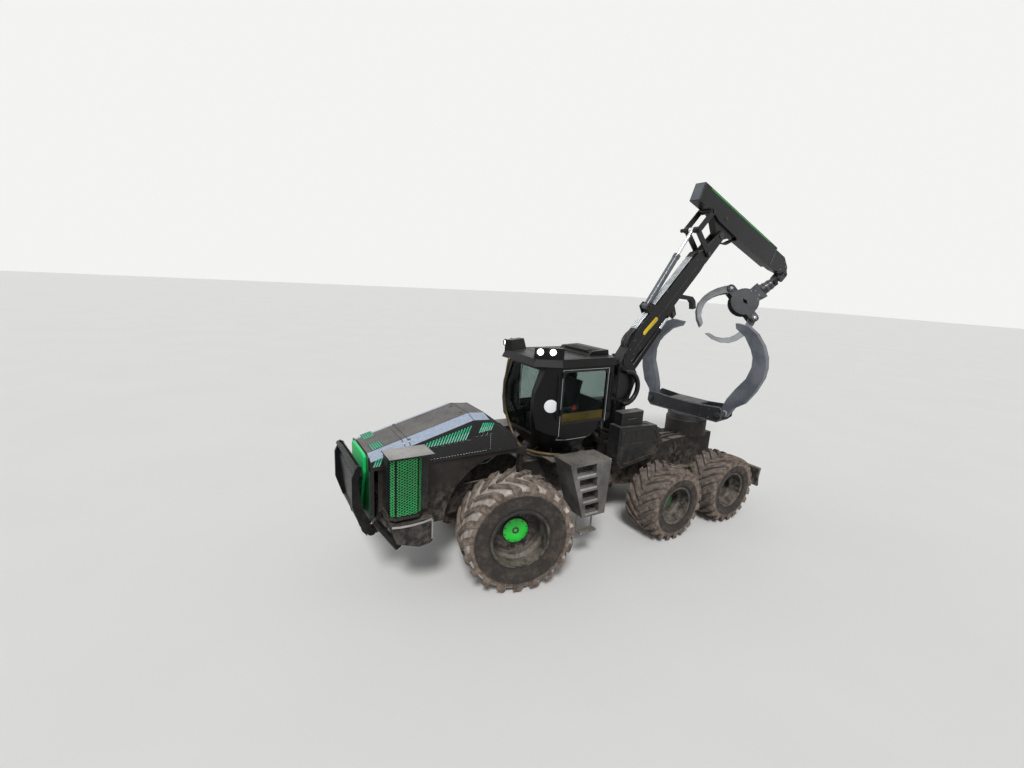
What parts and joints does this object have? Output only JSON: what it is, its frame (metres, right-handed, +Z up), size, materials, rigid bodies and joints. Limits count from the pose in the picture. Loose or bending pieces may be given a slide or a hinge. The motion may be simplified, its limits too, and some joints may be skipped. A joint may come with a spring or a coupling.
{
  "type": "skidder",
  "caption": "Six-wheel clam bunk skidder with articulated frame, turning cab, crane with grapple and bunk arms for hauling logs.",
  "frame": {"origin": "on the ground under the middle of the whole machine as it stands in the picture", "axes": "+Z up, -Y the way the machine drives, +X its left side"},
  "size_m": [3.1062, 9.9902, 6.5325],
  "materials": {
    "body_black": "satin",
    "frame_black": "matte",
    "hood_grey": "satin",
    "green_paint": "satin",
    "step_steel": "worn",
    "engine_iron": "rough",
    "steel": "brushed",
    "tool_steel": "worn",
    "bunk_grey": "worn",
    "cylinder_grey": "satin",
    "chrome": "polished",
    "tyre": "matte",
    "rim_black": "matte",
    "glass": "clear",
    "lamp": "clear",
    "seat_fabric": "woven",
    "interior": "matte"
  },
  "bodies": {
    "front": {"front_frame": "frame_black", "engine_block": "engine_iron", "hood": "hood_grey", "side_panels": "body_black", "nose_panel": "green_paint", "radiator_boxes": "body_black", "side_grilles": "green_paint", "access_steps": "step_steel", "front_axle": "frame_black"},
    "guard": {"guard_blade": "body_black"},
    "knuckle_l": {"knuckle_left": "frame_black"},
    "knuckle_r": {"knuckle_right": "frame_black"},
    "tie_rod": {"steering_link": "steel"},
    "wheel_fl": {"front_tyre_left": "tyre", "front_rim_left": "rim_black"},
    "wheel_fr": {"front_tyre_right": "tyre", "front_rim_right": "rim_black"},
    "cab": {"cab_shell": "body_black", "cab_roof": "body_black", "cab_glass": "glass", "roof_lamps": "lamp", "seat": "seat_fabric", "console": "interior"},
    "cab_door": {"door": "body_black", "door_glass": "glass"},
    "rear": {"rear_frame": "frame_black", "side_boxes": "body_black", "bogie_beams": "frame_black"},
    "wheel_ml": {"mid_tyre_left": "tyre", "mid_rim_left": "rim_black"},
    "wheel_mr": {"mid_tyre_right": "tyre", "mid_rim_right": "rim_black"},
    "wheel_rl": {"rear_tyre_left": "tyre", "rear_rim_left": "rim_black"},
    "wheel_rr": {"rear_tyre_right": "tyre", "rear_rim_right": "rim_black"},
    "blade": {"rear_blade": "frame_black"},
    "crane": {"crane_column": "body_black"},
    "boom_arm": {"boom": "body_black", "boom_pipes": "steel"},
    "lift_tube": {"lift_barrel": "body_black"},
    "lift_shaft": {"lift_rod": "chrome"},
    "jib_tube": {"jib_barrel": "cylinder_grey"},
    "jib_shaft": {"jib_rod": "chrome"},
    "rocker_arm": {"rocker": "body_black"},
    "link_arm": {"link": "body_black"},
    "stick_arm": {"stick": "body_black"},
    "stick_slide": {"extension": "body_black"},
    "hanger": {"tip_link": "tool_steel"},
    "turner": {"rotator": "tool_steel"},
    "grapple": {"grapple_body": "tool_steel"},
    "jaw_left": {"tine_left": "tool_steel"},
    "jaw_right": {"tine_right": "tool_steel"},
    "bunk": {"bunk_base": "bunk_grey"},
    "bunk_left": {"bunk_arm_left": "bunk_grey"},
    "bunk_right": {"bunk_arm_right": "bunk_grey"}
  },
  "joints": [
    {"name": "guard_tilt", "type": "hinge", "parent": "front", "child": "guard", "pos_m": [-0.0002, -4.69011, 0.95981], "axis": [1, 0, 0], "range_deg": [0, 70]},
    {"name": "steer_left", "type": "hinge", "parent": "front", "child": "knuckle_l", "pos_m": [0.7498, -2.66011, 0.85981], "axis": [0, 0, 1], "range_deg": [-5.7, 34.3]},
    {"name": "steer_right", "type": "hinge", "parent": "front", "child": "knuckle_r", "pos_m": [-0.7502, -2.66011, 0.85981], "axis": [0, 0, 1], "range_deg": [-5.7, 34.3]},
    {"name": "tie_rod_turn", "type": "hinge", "parent": "knuckle_l", "child": "tie_rod", "pos_m": [0.81155, -2.41786, 0.79982], "axis": [0, 0, 1], "range_deg": [-34.3, 5.7]},
    {"name": "front_wheel_left_spin", "type": "hinge", "parent": "knuckle_l", "child": "wheel_fl", "pos_m": [1.01144, -2.7268, 0.85981], "axis": [0.969, -0.247, 0], "continuous": true},
    {"name": "front_wheel_right_spin", "type": "hinge", "parent": "knuckle_r", "child": "wheel_fr", "pos_m": [-1.01183, -2.59342, 0.85981], "axis": [0.969, -0.247, 0], "continuous": true},
    {"name": "cab_turn", "type": "hinge", "parent": "front", "child": "cab", "pos_m": [-0.0002, -1.41011, 1.63982], "axis": [0, 0, 1], "range_deg": [-165, 165]},
    {"name": "door_swing", "type": "hinge", "parent": "cab", "child": "cab_door", "pos_m": [0.6978, -1.79111, 2.59981], "axis": [0, 0, 1], "range_deg": [-85, 0]},
    {"name": "articulation", "type": "hinge", "parent": "front", "child": "rear", "pos_m": [-0.0002, -0.71011, 1.05981], "axis": [0, 0, -1], "range_deg": [-40, 40]},
    {"name": "mid_wheel_left_spin", "type": "hinge", "parent": "rear", "child": "wheel_ml", "pos_m": [1.0198, 0.55989, 0.66982], "axis": [1, 0, 0], "continuous": true},
    {"name": "mid_wheel_right_spin", "type": "hinge", "parent": "rear", "child": "wheel_mr", "pos_m": [-1.0202, 0.55989, 0.66982], "axis": [1, 0, 0], "continuous": true},
    {"name": "rear_wheel_left_spin", "type": "hinge", "parent": "rear", "child": "wheel_rl", "pos_m": [1.0198, 2.15989, 0.66982], "axis": [1, 0, 0], "continuous": true},
    {"name": "rear_wheel_right_spin", "type": "hinge", "parent": "rear", "child": "wheel_rr", "pos_m": [-1.0202, 2.15989, 0.66982], "axis": [1, 0, 0], "continuous": true},
    {"name": "rear_blade_lift", "type": "hinge", "parent": "rear", "child": "blade", "pos_m": [-0.0002, 2.51989, 0.91982], "axis": [1, 0, 0], "range_deg": [-20, 25]},
    {"name": "crane_slew", "type": "hinge", "parent": "rear", "child": "crane", "pos_m": [-0.0002, 0.08989, 1.75981], "axis": [0, 0, 1], "range_deg": [-120, 120]},
    {"name": "boom_lift", "type": "hinge", "parent": "crane", "child": "boom_arm", "pos_m": [-0.0002, 0.08989, 3.14981], "axis": [1, 0, 0], "range_deg": [-30, 28]},
    {"name": "stick_fold", "type": "hinge", "parent": "boom_arm", "child": "stick_arm", "pos_m": [-0.0002, 2.39163, 5.61813], "axis": [-1, 0, 0], "range_deg": [-50, 25]},
    {"name": "rocker_turn", "type": "hinge", "parent": "boom_arm", "child": "rocker_arm", "pos_m": [-0.0002, 2.037, 5.23783], "axis": [-1, 0, 0], "range_deg": [-50, 25]},
    {"name": "link_turn", "type": "hinge", "parent": "rocker_arm", "child": "link_arm", "pos_m": [-0.0002, 1.62272, 5.65792], "axis": [-1, 0, 0], "range_deg": [-25, 50]},
    {"name": "lift_barrel_turn", "type": "hinge", "parent": "crane", "child": "lift_tube", "pos_m": [-0.0002, 0.29989, 2.86982], "axis": [1, 0, 0], "range_deg": [-28.58, 26.68]},
    {"name": "lift_rod_stroke", "type": "slide", "parent": "lift_tube", "child": "lift_shaft", "axis": [0, 0.636, 0.7717], "range_m": [-0.16712, 0.15599]},
    {"name": "jib_barrel_turn", "type": "hinge", "parent": "boom_arm", "child": "jib_tube", "pos_m": [-0.0002, 0.6024, 4.17595], "axis": [-1, 0, 0], "range_deg": [-0.266, 0.521]},
    {"name": "jib_rod_stroke", "type": "slide", "parent": "jib_tube", "child": "jib_shaft", "axis": [0, 0.5671, 0.8237], "range_m": [-0.47412, 0.23711]},
    {"name": "stick_extend", "type": "slide", "parent": "stick_arm", "child": "stick_slide", "axis": [0, 0.9397, -0.342], "range_m": [-0.35, 0.95]},
    {"name": "hanger_swing", "type": "hinge", "parent": "stick_slide", "child": "hanger", "pos_m": [-0.0002, 4.90369, 4.99115], "axis": [1, 0, 0], "range_deg": [-8, 100]},
    {"name": "rotator_swing", "type": "hinge", "parent": "hanger", "child": "turner", "pos_m": [-0.0002, 4.7153, 4.82681], "axis": [0, 0.6574, -0.7536], "range_deg": [-66, 24]},
    {"name": "grapple_turn", "type": "hinge", "parent": "turner", "child": "grapple", "pos_m": [-0.30839, 4.11028, 4.29901], "axis": [-0.3584, -0.7035, -0.6137], "continuous": true},
    {"name": "jaw_right_open", "type": "hinge", "parent": "grapple", "child": "jaw_right", "pos_m": [-0.08274, 4.21932, 3.94448], "axis": [0.7357, -0.6175, 0.2783], "range_deg": [-12, 50]},
    {"name": "jaw_left_open", "type": "hinge", "parent": "grapple", "child": "jaw_left", "pos_m": [-0.57705, 3.91681, 4.5799], "axis": [0.7357, -0.6175, 0.2783], "range_deg": [-50, 12]},
    {"name": "bunk_turn", "type": "hinge", "parent": "rear", "child": "bunk", "pos_m": [-0.0002, 2.23989, 1.92982], "axis": [0, 0, 1], "range_deg": [-53, 37]},
    {"name": "bunk_left_open", "type": "hinge", "parent": "bunk", "child": "bunk_left", "pos_m": [0.78212, 2.34984, 2.08481], "axis": [-0.1392, 0.9903, 0], "range_deg": [-20, 55]},
    {"name": "bunk_right_open", "type": "hinge", "parent": "bunk", "child": "bunk_right", "pos_m": [-0.78251, 2.12994, 2.08481], "axis": [0.1392, -0.9903, 0], "range_deg": [-6, 60]}
  ],
  "couplings": [
    {"joint": "steer_right", "follows": "steer_left", "ratio": 1},
    {"joint": "tie_rod_turn", "follows": "steer_left", "ratio": -1},
    {"joint": "rocker_turn", "follows": "stick_fold", "ratio": 1},
    {"joint": "link_turn", "follows": "stick_fold", "ratio": -1},
    {"joint": "lift_barrel_turn", "follows": "boom_lift", "ratio": 0.95246},
    {"joint": "lift_rod_stroke", "follows": "boom_lift", "m_per_rad": 0.31899},
    {"joint": "jib_barrel_turn", "follows": "stick_fold", "ratio": -0.01022},
    {"joint": "jib_rod_stroke", "follows": "stick_fold", "m_per_rad": 0.54318},
    {"joint": "jaw_left_open", "follows": "jaw_right_open", "ratio": -1}
  ]
}
